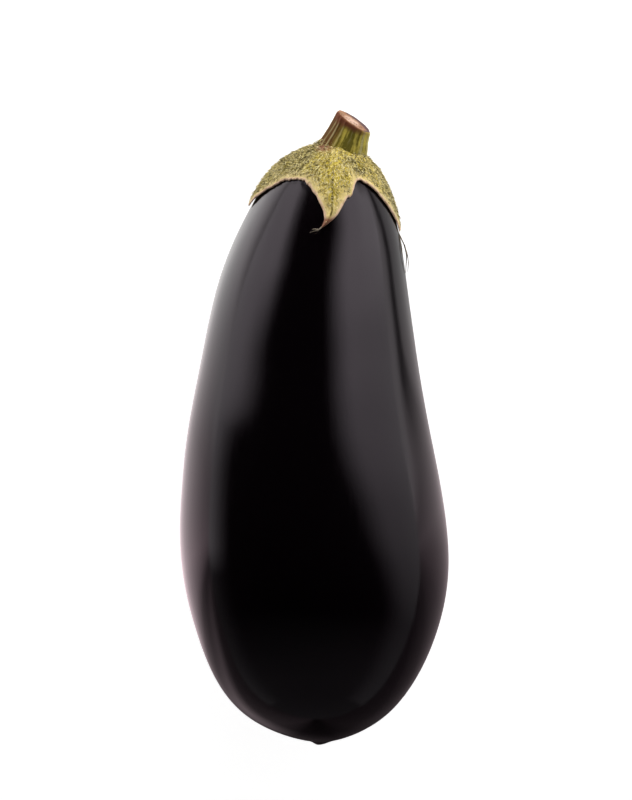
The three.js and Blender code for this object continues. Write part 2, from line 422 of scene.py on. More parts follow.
def waxed_aubergine_skin(sizes):
    """Waxed aubergine skin: a nearly black purple under a smooth natural wax, which gives deep
    black between soft clear reflections, with faint growth streaks along the fruit."""
    material, tree = new_material("waxed_aubergine_skin")
    own = add(tree, "ShaderNodeTexCoord").outputs["Object"]
    # Turned level with the fruit, in millimetres, so that Y runs along it.
    level = add(tree, "ShaderNodeMapping", own, vector_type="POINT", sockets={
        "Rotation": (LYING_DIP, 0, 0), "Scale": (1 / MM, 1 / MM, 1 / MM)})
    # Growth streaks, 1.2 mm apart and 60 mm long; waves of pores 0.5 mm apart.
    along = add(tree, "ShaderNodeMapping", level, sockets={"Scale": (1 / 1.2, 1 / 60, 1 / 1.2)})
    streaks = add(tree, "ShaderNodeTexNoise", along, sockets={"Scale": 1, "Detail": 3, "Roughness": 0.5})
    pores = add(tree, "ShaderNodeTexNoise", level, sockets={"Scale": 1 / 0.5, "Detail": 2})
    clouds = add(tree, "ShaderNodeTexNoise", level, sockets={"Scale": 1 / 30, "Detail": 3})

    place = add(tree, "ShaderNodeSeparateXYZ", level)
    towards_blossom = add(tree, "ShaderNodeMapRange", place.outputs["Y"], sockets={
        "From Min": -40, "From Max": -115})
    cloudy = add(tree, "ShaderNodeMath", towards_blossom, clouds, operation="MULTIPLY")
    bloom = add(tree, "ShaderNodeMix", data_type="RGBA", sockets={
        0: cloudy, 6: sizes.skin, 7: sizes.bloom})
    scar_place = lay_down() @ Vector((SCAR_CENTRE[0], 0, SCAR_CENTRE[1]))
    from_scar = add(tree, "ShaderNodeVectorMath", own, tuple(scar_place), operation="DISTANCE")
    ragged = add(tree, "ShaderNodeMath", pores, 1.5 * MM, operation="MULTIPLY")
    scar_edge = add(tree, "ShaderNodeMath", from_scar.outputs["Value"], ragged, operation="ADD")
    scar = add(tree, "ShaderNodeMapRange", scar_edge, sockets={
        "From Min": 3.6 * MM, "From Max": 2.6 * MM})
    base = add(tree, "ShaderNodeMix", data_type="RGBA", sockets={0: scar, 6: bloom, 7: sizes.scar})

    gloss = add(tree, "ShaderNodeMapRange", streaks, sockets={
        "From Min": 0.3, "From Max": 0.7, "To Min": 0.09, "To Max": 0.14})
    rough = add(tree, "ShaderNodeMix", data_type="FLOAT", sockets={0: scar, 2: gloss, 3: 0.7})
    fine = add(tree, "ShaderNodeMath", streaks, pores, operation="ADD")
    bump = add(tree, "ShaderNodeBump", sockets={"Strength": 0.35, "Distance": 0.00003, "Height": fine})
    surface = add(tree, "ShaderNodeBsdfPrincipled", sockets={
        "Base Color": base, "Roughness": rough, "IOR": 1.45, "Normal": bump,
        "Specular Tint": linear("#fff0fc")})
    add(tree, "ShaderNodeOutputMaterial", surface)
    return material


def felted_leaf(sizes):
    """Leathery calyx leaf under a dry felt: mottled olive with fibres that run from the stem to
    the edges, which bleach to a pinkish tan and dry to a red brown at the hooked tip. One side is
    painted lighter and yellower and the rest darker and greener, as painted light and shade, and
    the valleys between the sepals get a little painted shade."""
    material, tree = new_material("felted_leaf")
    fibre = add(tree, "ShaderNodeAttribute", attribute_name="fibre").outputs["Vector"]
    ribs, painted_light_side, edge, midrib, dried = (
        add(tree, "ShaderNodeAttribute", attribute_name=name).outputs["Fac"]
        for name in ("ribs", "painted_light_side", "edge", "midrib", "dried"))
    own = add(tree, "ShaderNodeTexCoord").outputs["Object"]
    # Fibres 0.7 mm apart, coarser than the real felt so that they still show from a distance,
    # mottling of 1.2 mm, patches of 6 mm and clouds of 9 mm.
    fine_fibre = add(tree, "ShaderNodeMapping", fibre, sockets={"Scale": (1 / 0.7, 1 / 0.7, 1 / 1.6)})
    broad_fibre = add(tree, "ShaderNodeMapping", fibre, sockets={"Scale": (1 / 1.2, 1 / 1.2, 1 / 2.4)})
    fibres = add(tree, "ShaderNodeTexNoise", fine_fibre, sockets={
        "Scale": 1, "Detail": 4, "Roughness": 0.65, "Distortion": 0.8})
    mottle = add(tree, "ShaderNodeTexNoise", broad_fibre, sockets={
        "Scale": 1, "Detail": 4, "Roughness": 0.7, "Distortion": 0.6})
    patches = add(tree, "ShaderNodeTexNoise", own, sockets={"Scale": 1000 / 6, "Detail": 2})
    clouds = add(tree, "ShaderNodeTexNoise", own, sockets={"Scale": 1000 / 9, "Detail": 2})

    # Painted light and shade: the body goes to the yellow leaf on the lit side and to the painted shade leaf
    # elsewhere.
    leaf = add(tree, "ShaderNodeMix", data_type="RGBA", sockets={
        0: painted_light_side, 6: sizes.painted_shade_leaf, 7: sizes.leaf})
    clouded = add(tree, "ShaderNodeMath", clouds, 0.8, mottle, operation="MULTIPLY_ADD")
    flecked = add(tree, "ShaderNodeMath", fibres, 0.9, clouded, operation="MULTIPLY_ADD")
    # More painted light: the lit side gets fewer dark flecks.
    flecked_with_painted_light = add(tree, "ShaderNodeMath", painted_light_side, 0.16, flecked, operation="MULTIPLY_ADD")
    # Painted highlight and shade: lighter along the sepals' middles and darker in the valleys between them.
    painted_relief_shade = add(tree, "ShaderNodeMath", ribs, 0.08, flecked_with_painted_light, operation="MULTIPLY_ADD")
    dark = add(tree, "ShaderNodeMapRange", painted_relief_shade, sockets={"From Min": 1.27, "From Max": 1.45})
    body = add(tree, "ShaderNodeMix", data_type="RGBA", sockets={0: dark, 6: sizes.shade, 7: leaf})
    light = add(tree, "ShaderNodeMapRange", fibres, sockets={"From Min": 0.52, "From Max": 0.6})
    much = add(tree, "ShaderNodeMapRange", patches, sockets={
        "From Min": 0.38, "From Max": 0.6, "To Min": 0.3, "To Max": 1})
    felted = add(tree, "ShaderNodeMath", light, much, operation="MULTIPLY")
    pale = add(tree, "ShaderNodeMix", data_type="RGBA", sockets={0: felted, 6: body, 7: sizes.felt})
    # The edge bleaches to straw over a few millimetres, and its last half is a pinkish tan.
    ragged = add(tree, "ShaderNodeMath", mottle, 4.5, edge, operation="MULTIPLY_ADD")
    bleached = add(tree, "ShaderNodeMapRange", ragged, sockets={
        "From Min": 6.2, "From Max": 3.2, "To Max": 0.75})
    straw = add(tree, "ShaderNodeMix", data_type="RGBA", sockets={0: bleached, 6: pale, 7: sizes.straw})
    torn = add(tree, "ShaderNodeMath", fibres, 1.6, edge, operation="MULTIPLY_ADD")
    pinkish = add(tree, "ShaderNodeMapRange", torn, sockets={"From Min": 1.7, "From Max": 1.0})
    flecks = add(tree, "ShaderNodeMapRange", fibres, sockets={"From Min": 0.5, "From Max": 0.62})
    dry_edge = add(tree, "ShaderNodeMix", data_type="RGBA", sockets={
        0: flecks, 6: sizes.margin, 7: linear("#b88a72")})
    with_edge = add(tree, "ShaderNodeMix", data_type="RGBA", sockets={0: pinkish, 6: straw, 7: dry_edge})
    dashes = add(tree, "ShaderNodeMath", mottle, 1.6, midrib, operation="MULTIPLY_ADD")
    rib = add(tree, "ShaderNodeMapRange", dashes, sockets={
        "From Min": 1.6, "From Max": 1.85, "To Max": 0.85})
    ribbed = add(tree, "ShaderNodeMix", data_type="RGBA", sockets={
        0: rib, 6: with_edge, 7: linear("#3f3413")})
    scorched = add(tree, "ShaderNodeMath", mottle, 0.5, dried, operation="MULTIPLY_ADD")
    burnt = add(tree, "ShaderNodeMapRange", scorched, sockets={
        "From Min": 0.4, "From Max": 1.05, "To Max": 0.9})
    base = add(tree, "ShaderNodeMix", data_type="RGBA", sockets={0: burnt, 6: ribbed, 7: sizes.burnt})

    height = add(tree, "ShaderNodeMath", fibres, 0.6, mottle, operation="MULTIPLY_ADD")
    bump = add(tree, "ShaderNodeBump", sockets={"Strength": 0.8, "Distance": 0.0003, "Height": height})
    surface = add(tree, "ShaderNodeBsdfPrincipled", sockets={
        "Base Color": base, "Roughness": 0.85, "IOR": 1.4, "Specular IOR Level": 0.25,
        "Sheen Weight": 0.4, "Sheen Roughness": 0.4, "Sheen Tint": linear("#f0e4c8"), "Normal": bump})
    add(tree, "ShaderNodeOutputMaterial", surface)
    return material


def straw_felt(sizes):
    """Felt hairs: dry plant hairs, many of them pale straw and some dark olive."""
    material, tree = new_material("straw_felt")
    tone = add(tree, "ShaderNodeAttribute", attribute_name="tone").outputs["Fac"]
    base = ramp(tree, tone, [
        (0, sizes.shade), (0.18, sizes.shade), (0.3, sizes.painted_shade_leaf), (0.55, sizes.felt), (1, sizes.felt)])
    surface = add(tree, "ShaderNodeBsdfPrincipled", sockets={
        "Base Color": base, "Roughness": 0.7, "IOR": 1.45, "Specular IOR Level": 0.3})
    add(tree, "ShaderNodeOutputMaterial", surface)
    return material


def ribbed_bark(sizes):
    """Green stem bark: olive with pale raised ribs and dark lengthwise streaks, dark brown on one
    side, partly its own brown and partly painted shade, and red brown just under the cut."""
    material, tree = new_material("ribbed_bark")
    fibre = add(tree, "ShaderNodeAttribute", attribute_name="fibre").outputs["Vector"]
    rib, brown_and_painted_shade, dried, shade = (
        add(tree, "ShaderNodeAttribute", attribute_name=name).outputs["Fac"]
        for name in ("rib", "brown_and_painted_shade", "dried", "shade"))
    # Streaks 0.5 mm apart that run the length of the stem, and spots of 1.8 mm.
    streaks = add(tree, "ShaderNodeTexNoise", fibre, sockets={
        "Scale": 1 / 0.5, "Detail": 4, "Roughness": 0.7})
    spots = add(tree, "ShaderNodeTexNoise", fibre, sockets={"Scale": 1 / 1.8, "Detail": 4, "Roughness": 0.6})
    shaded = add(tree, "ShaderNodeMath", shade, -0.16, spots, operation="MULTIPLY_ADD")
    grained = add(tree, "ShaderNodeMath", streaks, 0.5, shaded, operation="MULTIPLY_ADD")
    dark = add(tree, "ShaderNodeMapRange", grained, sockets={"From Min": 0.84, "From Max": 0.62})
    green = add(tree, "ShaderNodeMix", data_type="RGBA", sockets={
        0: dark, 6: sizes.green, 7: linear("#5d5412")})
    # The left side turns dark brown: partly brown bark, partly painted shade.
    brownish = add(tree, "ShaderNodeMath", streaks, 1.1, brown_and_painted_shade, operation="MULTIPLY_ADD")
    browned = add(tree, "ShaderNodeMapRange", brownish, sockets={"From Min": 0.8, "From Max": 1.3})
    side = add(tree, "ShaderNodeMix", data_type="RGBA", sockets={0: browned, 6: green, 7: sizes.brown})
    lined = add(tree, "ShaderNodeMath", streaks, 0.7, rib, operation="MULTIPLY_ADD")
    raised = add(tree, "ShaderNodeMapRange", lined, sockets={
        "From Min": 0.75, "From Max": 1.35, "To Max": 0.8})
    ribs = add(tree, "ShaderNodeMix", data_type="RGBA", sockets={0: raised, 6: side, 7: sizes.pale})
    drying = add(tree, "ShaderNodeMath", streaks, 0.6, dried, operation="MULTIPLY_ADD")
    dry = add(tree, "ShaderNodeMapRange", drying, sockets={"From Min": 0.75, "From Max": 1.15})
    base = add(tree, "ShaderNodeMix", data_type="RGBA", sockets={0: dry, 6: ribs, 7: linear("#6a3c26")})
    bump = add(tree, "ShaderNodeBump", sockets={"Strength": 0.8, "Distance": 0.00025, "Height": streaks})
    surface = add(tree, "ShaderNodeBsdfPrincipled", sockets={
        "Base Color": base, "Roughness": 0.7, "IOR": 1.45, "Specular IOR Level": 0.15, "Normal": bump})
    add(tree, "ShaderNodeOutputMaterial", surface)
    return material


def knife_cut_wood(sizes):
    """Knife-cut green wood, a day old: pale pink with a lighter pith, a ring of dark vessels and
    a dark, dried rim."""
    material, tree = new_material("knife_cut_wood")
    face = add(tree, "ShaderNodeAttribute", attribute_name="face").outputs["Vector"]
    share = add(tree, "ShaderNodeVectorMath", face, operation="LENGTH").outputs["Value"]
    grain = add(tree, "ShaderNodeTexNoise", face, sockets={"Scale": 9, "Detail": 4, "Roughness": 0.6})
    blots = add(tree, "ShaderNodeTexNoise", face, sockets={"Scale": 2.6, "Detail": 3, "Roughness": 0.6})
    mixed = add(tree, "ShaderNodeMath", blots, 0.45, share, operation="MULTIPLY_ADD")
    offset = add(tree, "ShaderNodeMath", mixed, 0.25, operation="SUBTRACT")
    # The rim is broad on the side away from the belly, and thin on the near one.
    far_side = add(tree, "ShaderNodeVectorMath", face, (0.24, -0.36, 0), operation="DOT_PRODUCT")
    tilted = add(tree, "ShaderNodeMath", offset, far_side.outputs["Value"], operation="ADD")
    wavy = add(tree, "ShaderNodeMath", grain, 0.12, tilted, operation="MULTIPLY_ADD")
    rings = ramp(tree, wavy, [
        (0.0, sizes.pith), (0.36, sizes.pith), (0.5, sizes.cut), (0.64, linear("#966c46")),
        (0.74, sizes.cut), (0.9, linear("#966a48")), (1.0, sizes.rim)])
    vessels = add(tree, "ShaderNodeTexVoronoi", face, sockets={"Scale": 6.0, "Randomness": 0.8})
    dots = add(tree, "ShaderNodeMapRange", vessels.outputs["Distance"], sockets={
        "From Min": 0.46, "From Max": 0.32})
    ring = add(tree, "ShaderNodeMath", wavy, 0.5, 0.22, operation="COMPARE")
    dotted = add(tree, "ShaderNodeMath", dots, ring, operation="MULTIPLY")
    base = add(tree, "ShaderNodeMix", data_type="RGBA", sockets={
        0: dotted, 6: rings, 7: linear("#5c3c2c")})
    bump = add(tree, "ShaderNodeBump", sockets={"Strength": 0.6, "Distance": 0.0002, "Height": grain})
    surface = add(tree, "ShaderNodeBsdfPrincipled", sockets={
        "Base Color": base, "Roughness": 0.6, "IOR": 1.45, "Specular IOR Level": 0.3, "Normal": bump})
    add(tree, "ShaderNodeOutputMaterial", surface)
    return material


# ---- the fruit ----


def outline_curve():
    """The outline as a curve object: X is the radius, Y the height and Z the sideways drift."""
    curve = bpy.data.curves.new("fruit_outline", "CURVE")
    curve.dimensions = "3D"
    curve.resolution_u = 64
    spline = curve.splines.new("NURBS")
    spline.points.add(len(OUTLINE) - 1)
    for point, place in zip(spline.points, OUTLINE):
        point.co = (*place, 1)
    spline.order_u = 4
    spline.use_endpoint_u = True
    return in_scene("fruit_outline", curve)


def fruit_tree():
    """Turns the outline round the fruit, then gives it its drift, flattening, shoulder grooves,
    flower scar and slow waves. All sizes are in millimetres."""
    sizes = ("Depth to Width", "Groove Depth", "Groove Width", "Groove Bottom", "Groove Top",
             "Scar Height", "Scar Radius", "Lump Height", "Lump Size")
    tree, given = new_tree("fruit_skin", {
        "Outline": "Object", "Rings": "Int", "Sides": "Int", **dict.fromkeys(sizes, "Float"),
        "Material": "Material"})

    # A grid whose X is the share of the way from blossom end to crown and whose Y is the angle.
    rows = add(tree, "ShaderNodeMath", given["Rings"], 1, operation="ADD")
    columns = add(tree, "ShaderNodeMath", given["Sides"], 1, operation="ADD")
    grid = add(tree, "GeometryNodeMeshGrid", 1, 1, rows, columns)
    place = add(tree, "ShaderNodeSeparateXYZ", add(tree, "GeometryNodeInputPosition"))
    turn = add(tree, "ShaderNodeMath", place.outputs["X"], pi, pi / 2, operation="MULTIPLY_ADD")
    share = add(tree, "ShaderNodeMath", add(tree, "ShaderNodeMath", turn, operation="COSINE"), -0.5, 0.5,
                operation="MULTIPLY_ADD")
    angle = add(tree, "ShaderNodeMath", place.outputs["Y"], 2 * pi, pi, operation="MULTIPLY_ADD")
    line = add(tree, "GeometryNodeObjectInfo", given["Outline"])
    sample = add(tree, "GeometryNodeSampleCurve", mode="FACTOR", sockets={
        "Curves": line.outputs["Geometry"], "Factor": share})
    middle = add(tree, "ShaderNodeSeparateXYZ", sample.outputs["Position"])
    radius, height, drift = middle.outputs

    # The deepest groove at this angle, fading down the shoulder and out at the crown.
    across = None
    for groove_angle in GROOVE_ANGLES:
        apart = add(tree, "ShaderNodeMath", angle, radians(groove_angle), operation="SUBTRACT")
        wrapped = add(tree, "ShaderNodeMath", apart, pi, -pi, operation="WRAP")
        gap = add(tree, "ShaderNodeMath", wrapped, operation="ABSOLUTE")
        dip = add(tree, "ShaderNodeMapRange", gap, interpolation_type="SMOOTHSTEP", sockets={
            "From Min": 0, "From Max": given["Groove Width"], "To Min": 1, "To Max": 0})
        across = dip if across is None else add(tree, "ShaderNodeMath", across, dip, operation="MAXIMUM")
    down = add(tree, "ShaderNodeMapRange", height, interpolation_type="SMOOTHSTEP", sockets={
        "From Min": given["Groove Bottom"], "From Max": given["Groove Top"]})
    near_pole = add(tree, "ShaderNodeMath", radius, 1 / POLE_FADE, operation="MULTIPLY", use_clamp=True)
    depth = add(tree, "ShaderNodeMath", given["Groove Depth"], across, operation="MULTIPLY")
    for part in (down, near_pole):
        depth = add(tree, "ShaderNodeMath", depth, part, operation="MULTIPLY")
    grooved = add(tree, "ShaderNodeMath", radius, depth, operation="SUBTRACT")

    cosine = add(tree, "ShaderNodeMath", angle, operation="COSINE")
    sine = add(tree, "ShaderNodeMath", angle, operation="SINE")
    x = add(tree, "ShaderNodeMath", grooved, cosine, drift, operation="MULTIPLY_ADD")
    flat = add(tree, "ShaderNodeMath", sine, given["Depth to Width"], operation="MULTIPLY")
    z = add(tree, "ShaderNodeMath", grooved, flat, operation="MULTIPLY")

    # The scar is a low boss on the blossom end, steeper on the -X side.
    from_scar = add(tree, "ShaderNodeMath", x, SCAR_CENTRE[0], operation="SUBTRACT")
    steep = add(tree, "ShaderNodeMath", from_scar, -2.0, operation="MULTIPLY")
    lopsided = add(tree, "ShaderNodeMath", from_scar, steep, operation="MAXIMUM")
    beside_scar = add(tree, "ShaderNodeCombineXYZ", lopsided, z)
    spot = add(tree, "ShaderNodeVectorMath", beside_scar, operation="LENGTH")
    boss = add(tree, "ShaderNodeMapRange", spot.outputs["Value"], interpolation_type="SMOOTHSTEP", sockets={
        "From Min": 0, "From Max": given["Scar Radius"], "To Min": given["Scar Height"], "To Max": 0})
    below = add(tree, "ShaderNodeMath", share, 0.5, operation="LESS_THAN")
    drop = add(tree, "ShaderNodeMath", boss, below, operation="MULTIPLY")
    y = add(tree, "ShaderNodeMath", height, drop, operation="SUBTRACT")
    skin = add(tree, "GeometryNodeSetPosition", grid.outputs["Mesh"], sockets={
        "Position": add(tree, "ShaderNodeCombineXYZ", x, y, z)})
    closed = add(tree, "GeometryNodeMergeByDistance", skin, sockets={"Distance": 0.002})

    # Slow waves of growth that move the skin along its own normal. The noise runs from 0 to 1, so
    # twice its distance from the middle runs from -1 to 1.
    per_lump = add(tree, "ShaderNodeMath", 1, given["Lump Size"], operation="DIVIDE")
    waves = add(tree, "ShaderNodeTexNoise", add(tree, "GeometryNodeInputPosition"), sockets={
        "Scale": per_lump, "Detail": 1})
    swing = add(tree, "ShaderNodeMath", waves.outputs[0], 0.5, operation="SUBTRACT")
    wave_lift = add(tree, "ShaderNodeMath", swing, given["Lump Height"], operation="MULTIPLY")
    doubled = add(tree, "ShaderNodeMath", wave_lift, 2, operation="MULTIPLY")
    normal = add(tree, "GeometryNodeInputNormal")
    offset = add(tree, "ShaderNodeVectorMath", normal, operation="SCALE", sockets={"Scale": doubled})
    waved = add(tree, "GeometryNodeSetPosition", closed, sockets={"Offset": offset})
    end_tree(tree, waved, given["Material"])
    return tree


def grow(name, mesh, tree, values):
    """Runs a node tree on a mesh with its inputs set by identifier, and returns the plain mesh."""
    holder = in_scene(name, mesh)
    modifier = holder.modifiers.new("grow", "NODES")
    modifier.node_group = tree
    for item in tree.interface.items_tree:
        if item.in_out == "INPUT" and item.name in values:
            modifier[item.identifier] = values[item.name]
    seen = holder.evaluated_get(bpy.context.evaluated_depsgraph_get())
    grown = bpy.data.meshes.new_from_object(seen)
    grown.name = name
    holder.modifiers.remove(modifier)
    bpy.data.objects.remove(holder)
    return grown


class EGGPLANT_OT_fruit(bpy.types.Operator):
    """Grow the waxed fruit on its outline"""
    bl_idname = "eggplant.fruit"
    bl_label = "Make Fruit"

    def execute(self, context):
        sizes = context.scene.eggplant_fruit
        outline = outline_curve()
        material = waxed_aubergine_skin(sizes)
        mesh = grow("fruit_skin", bpy.data.meshes.new("fruit_seed"), fruit_tree(), {
            "Outline": outline, "Rings": sizes.rings, "Sides": sizes.sides,
            "Depth to Width": sizes.depth_to_width, "Groove Depth": sizes.groove_depth,
            "Groove Width": sizes.groove_width, "Groove Bottom": sizes.groove_span[0],
            "Groove Top": sizes.groove_span[1], "Scar Height": sizes.scar_height,
            "Scar Radius": sizes.scar_radius, "Lump Height": sizes.lump_height,
            "Lump Size": sizes.lump_size, "Material": material})
        bpy.data.objects.remove(outline)
        if not mesh.polygons:
            raise RuntimeError("the fruit's node tree gave no faces")
        mesh.transform(lay_down())
        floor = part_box("fruit")[0].z
        for vertex in mesh.vertices:
            vertex.co.z = max(vertex.co.z, floor)
        finish_piece("fruit_skin", mesh, ["fruit"])
        return {"FINISHED"}


# ---- the calyx ----


def sepal_edges(angle, sizes):
    """For each angle: the reach of the edge, how far on its sepal's tip it is, from 0 at the rim
    to 1 at the tip, the tip's stand, its hook, its own angle and its number."""
    rise, reach, stands, hook, tip_angle = (np.zeros_like(angle) for _ in range(5))
    number = np.full(angle.shape, -1)
    reach += sizes.rim_reach
    for index, sepal in enumerate(SEPALS):
        aside = degrees_from(angle, sepal["tip"])
        start, end = (side - sepal["tip"] for side in sepal["sides"])
        share = np.where(aside < 0, aside / start, aside / end)
        taper = np.where(aside < 0, *sepal["taper"])
        inside = share < 1
        up = np.where(inside, np.maximum(1 - share, 0) ** taper, 0)
        rise = np.where(inside, up, rise)
        reach = np.where(inside, sizes.rim_reach + (sepal["reach"] - sizes.rim_reach) * up, reach)
        stands = np.where(inside, sepal["stands"], stands)
        hook = np.where(inside, sepal["hook"], hook)
        tip_angle = np.where(inside, radians(sepal["tip"]), tip_angle)
        number = np.where(inside, index, number)
        if index == FRONT_SEPAL:
            bump = np.exp(-((share - FRONT_STEP["at"]) / FRONT_STEP["width"]) ** 2)
            bump = FRONT_STEP["rise"] * bump * (aside < 0) * inside
            reach += (sepal["reach"] - sizes.rim_reach) * bump
    return rise, reach, stands, hook, tip_angle, number


def ragged_line(angle, sizes):
    """The torn outline of the edge: teeth of a few sizes, closed round the calyx."""
    circle = np.stack([np.cos(angle), np.sin(angle), np.zeros_like(angle)], axis=-1)
    teeth = noise_at(circle * 24, 1.7, 3) + 0.8 * noise_at(circle * 24, 0.65, 5)
    return sizes.ragged * teeth


def calyx_grid(sizes):
    """The points and attributes of the calyx: down its outer face and back up its inner one."""
    skin = Skin(bpy.context.scene.eggplant_fruit)
    angle = np.linspace(0, 2 * pi, sizes.sides, endpoint=False) - pi / 2
    rise, edge, stands, hook, tip_angle, number = sepal_edges(angle, sizes)
    rim = edge + ragged_line(angle, sizes) * (1 - 0.6 * rise)
    hole = STEM_RADII[2] - HOLE_INSET
    outer_rows, inner_rows = CALYX_ROWS
    # The outer rows crowd towards the edge, which is the most curved.
    outer = 1 - (1 - np.linspace(0, 1, outer_rows)) ** 1.35
    inner = np.linspace(1, 0, inner_rows)
    level = np.ones_like(angle)
    share = np.concatenate([outer, inner])[:, None] * level
    face = np.repeat([1.0, 0.0], [len(outer), len(inner)])[:, None] * level
    round_angle = np.broadcast_to(angle, share.shape)
    reach = hole + (rim - hole) * share
    radius = np.maximum(skin.radius(reach), 6)

    # Distance from the edge, square to it, and from the middle of the sepal, in millimetres.
    steps = np.gradient(edge) / (np.gradient(angle) * CALYX_RADIUS)
    from_edge = (rim - reach) / np.sqrt(1 + np.minimum(np.abs(steps), 2.5) ** 2)
    aside = ((round_angle - tip_angle + pi) % (2 * pi) - pi) * radius
    on_sepal = (number >= 0) & (np.abs(aside) < 14)

    # The hook bends the last of a tip sideways.
    tip_reach = np.array([sepal["reach"] for sepal in SEPALS])[np.maximum(number, 0)]
    beyond = np.clip((reach - HOOK_START) / np.maximum(tip_reach - HOOK_START, 1), 0, 1) ** 2
    turned = round_angle + hook * beyond / radius

    # On the flat map of the crown the stem stands to one side, so the calyx shifts with it.
    towards_stem = 1 - smooth(reach, 0, sizes.rim_reach)
    map_x = reach * np.cos(turned) + STEM_OFFSET[0] * towards_stem
    map_z = reach * np.sin(turned) + STEM_OFFSET[1] * towards_stem
    map_angle, map_reach = np.arctan2(map_z, map_x), np.hypot(map_x, map_z)

    fibre = np.stack([CALYX_RADIUS * np.cos(turned), CALYX_RADIUS * np.sin(turned), reach], axis=-1)
    flat_fibre = fibre.reshape(-1, 3) * (1, 1, 0.4)
    fine = noise_at(flat_fibre, 0.9, 1).reshape(share.shape)
    broad = noise_at(flat_fibre, 3.2, 2).reshape(share.shape)
    ridge = np.exp(-(aside / 1.1) ** 2) * smooth(reach, 12, 22) * on_sepal
    valleys = [np.exp(-(degrees_from(round_angle, at) / 7) ** 2) for at in GROOVE_ANGLES]
    valley = np.max(valleys, axis=0) * smooth(reach, 10, 20)
    rounding = np.sqrt(1 - (1 - np.clip(from_edge / 0.8, 0, 1)) ** 2)
    thickening = sizes.crown_thickness - sizes.edge_thickness
    thin = sizes.edge_thickness + thickening * (1 - share ** CALYX_THINNING)
    relief = (0.16 * fine + 0.22 * broad + 0.25 * ridge - 0.35 * valley) * smooth(from_edge, 0, 2)
    stand = sizes.edge_stand * smooth(share, 0.6, 1) + stands * rise * share ** 4
    ripple = 0.35 * noise_at(flat_fibre, 5, 4).reshape(share.shape) * smooth(share, 0.75, 1)
    base = CALYX_CLEARANCE + np.maximum(stand + ripple, 0)
    lift = base + face * (thin * (0.25 + 0.75 * rounding) + relief)
    points = skin.points(map_angle, np.maximum(map_reach, 0.5), lift)

    ahead = np.roll(points, -1, axis=0)
    ahead[-1] = points[-1]
    grain = (ahead - points) * np.where(face > 0, 1, -1)[..., None]
    grain /= np.maximum(np.linalg.norm(grain, axis=-1, keepdims=True), 1e-6)
    turn = np.array(Matrix.Rotation(-LYING_DIP, 3, "X"))
    on_front = number == FRONT_SEPAL
    hooked = on_front * smooth(reach, 37.8, 41.3)
    midrib = np.exp(-(aside / 0.85) ** 2) * smooth(reach, 16, 20) * on_front
    from_bruise = np.hypot((points[..., 0] - BRUISE[0]) / 3.4, (points[..., 1] - BRUISE[1]) / 1.9)
    bruise = np.exp(-from_bruise ** 2) * (points[..., 2] > 0)
    bare = np.maximum(hooked, 0.7 * np.maximum(bruise, midrib))
    attributes = {
        "fibre": fibre,
        "edge": from_edge,
        # Painted highlight and shade: ribs is high along the sepals' middles and low in the valleys between
        # them.
        "ribs": np.exp(-(aside / 5) ** 2) * on_sepal - 0.6 * valley,
        # Painted light: the calyx is lit around 60 degrees and painted as shaded elsewhere.
        "painted_light_side": smooth(np.cos(turned - radians(60)), 0.5, 1),
        "midrib": midrib,
        "dried": np.maximum(hooked, 0.9 * bruise),
        "outer": face * smooth(from_edge, 0.4, 3.5) * (1 - 0.85 * bare),
        "grain": grain @ turn.T,
    }
    # The first row comes again at the end, where it closes the calyx round the stem.
    return np.concatenate([points, points[:1]]), {
        key: np.concatenate([values, values[:1]]) for key, values in attributes.items()}


def felt_tree():
    """Strews thin hairs over the outer face of the calyx, nearly lying along its grain."""
    tree, given = new_tree("felt", {
        "Calyx": "Geometry", "Hairs": "Int", "Length": "Float", "Width": "Float", "Area": "Float",
        "Seed": "Int", "Material": "Material"})
    outer = add(tree, "GeometryNodeInputNamedAttribute", "outer", data_type="FLOAT")
    grain = add(tree, "GeometryNodeInputNamedAttribute", "grain", data_type="FLOAT_VECTOR")
    per_area = add(tree, "ShaderNodeMath", given["Hairs"], given["Area"], operation="DIVIDE")
    density = add(tree, "ShaderNodeMath", per_area, outer.outputs[0], operation="MULTIPLY")
    points = add(tree, "GeometryNodeDistributePointsOnFaces", given["Calyx"], sockets={
        "Density": density, "Seed": given["Seed"]})
    stray = add(tree, "FunctionNodeRandomValue", data_type="FLOAT_VECTOR", sockets={
        0: (-0.75, -0.75, -0.75), 1: (0.75, 0.75, 0.75), "Seed": given["Seed"]})
    astray = add(tree, "ShaderNodeVectorMath", grain.outputs[0], stray, operation="ADD")
    up = add(tree, "ShaderNodeVectorMath", points.outputs["Normal"], operation="SCALE", sockets={
        "Scale": 0.3})
    way = add(tree, "ShaderNodeVectorMath", astray, up, operation="ADD")
    turn = add(tree, "FunctionNodeAlignRotationToVector", sockets={"Vector": way.outputs[0]}, axis="Z")
    half = add(tree, "ShaderNodeMath", given["Width"], 0.5, operation="MULTIPLY")
    hair = add(tree, "GeometryNodeMeshCone", sockets={
        "Vertices": 3, "Radius Top": 0.00001, "Radius Bottom": half,
        "Depth": given["Length"]})
    long = add(tree, "FunctionNodeRandomValue", data_type="FLOAT", sockets={
        2: 0.35, 3: 1.15, "Seed": 11})
    strewn = add(tree, "GeometryNodeInstanceOnPoints", points.outputs["Points"], sockets={
        "Instance": hair.outputs["Mesh"], "Rotation": turn,
        "Scale": add(tree, "ShaderNodeCombineXYZ", 1, 1, long)})
    tone = add(tree, "FunctionNodeRandomValue", data_type="FLOAT", sockets={2: 0, 3: 1, "Seed": 5})
    toned = add(tree, "GeometryNodeStoreNamedAttribute", strewn, sockets={"Name": "tone", "Value": tone},
                data_type="FLOAT", domain="INSTANCE")
    end_tree(tree, toned, given["Material"])
    return tree


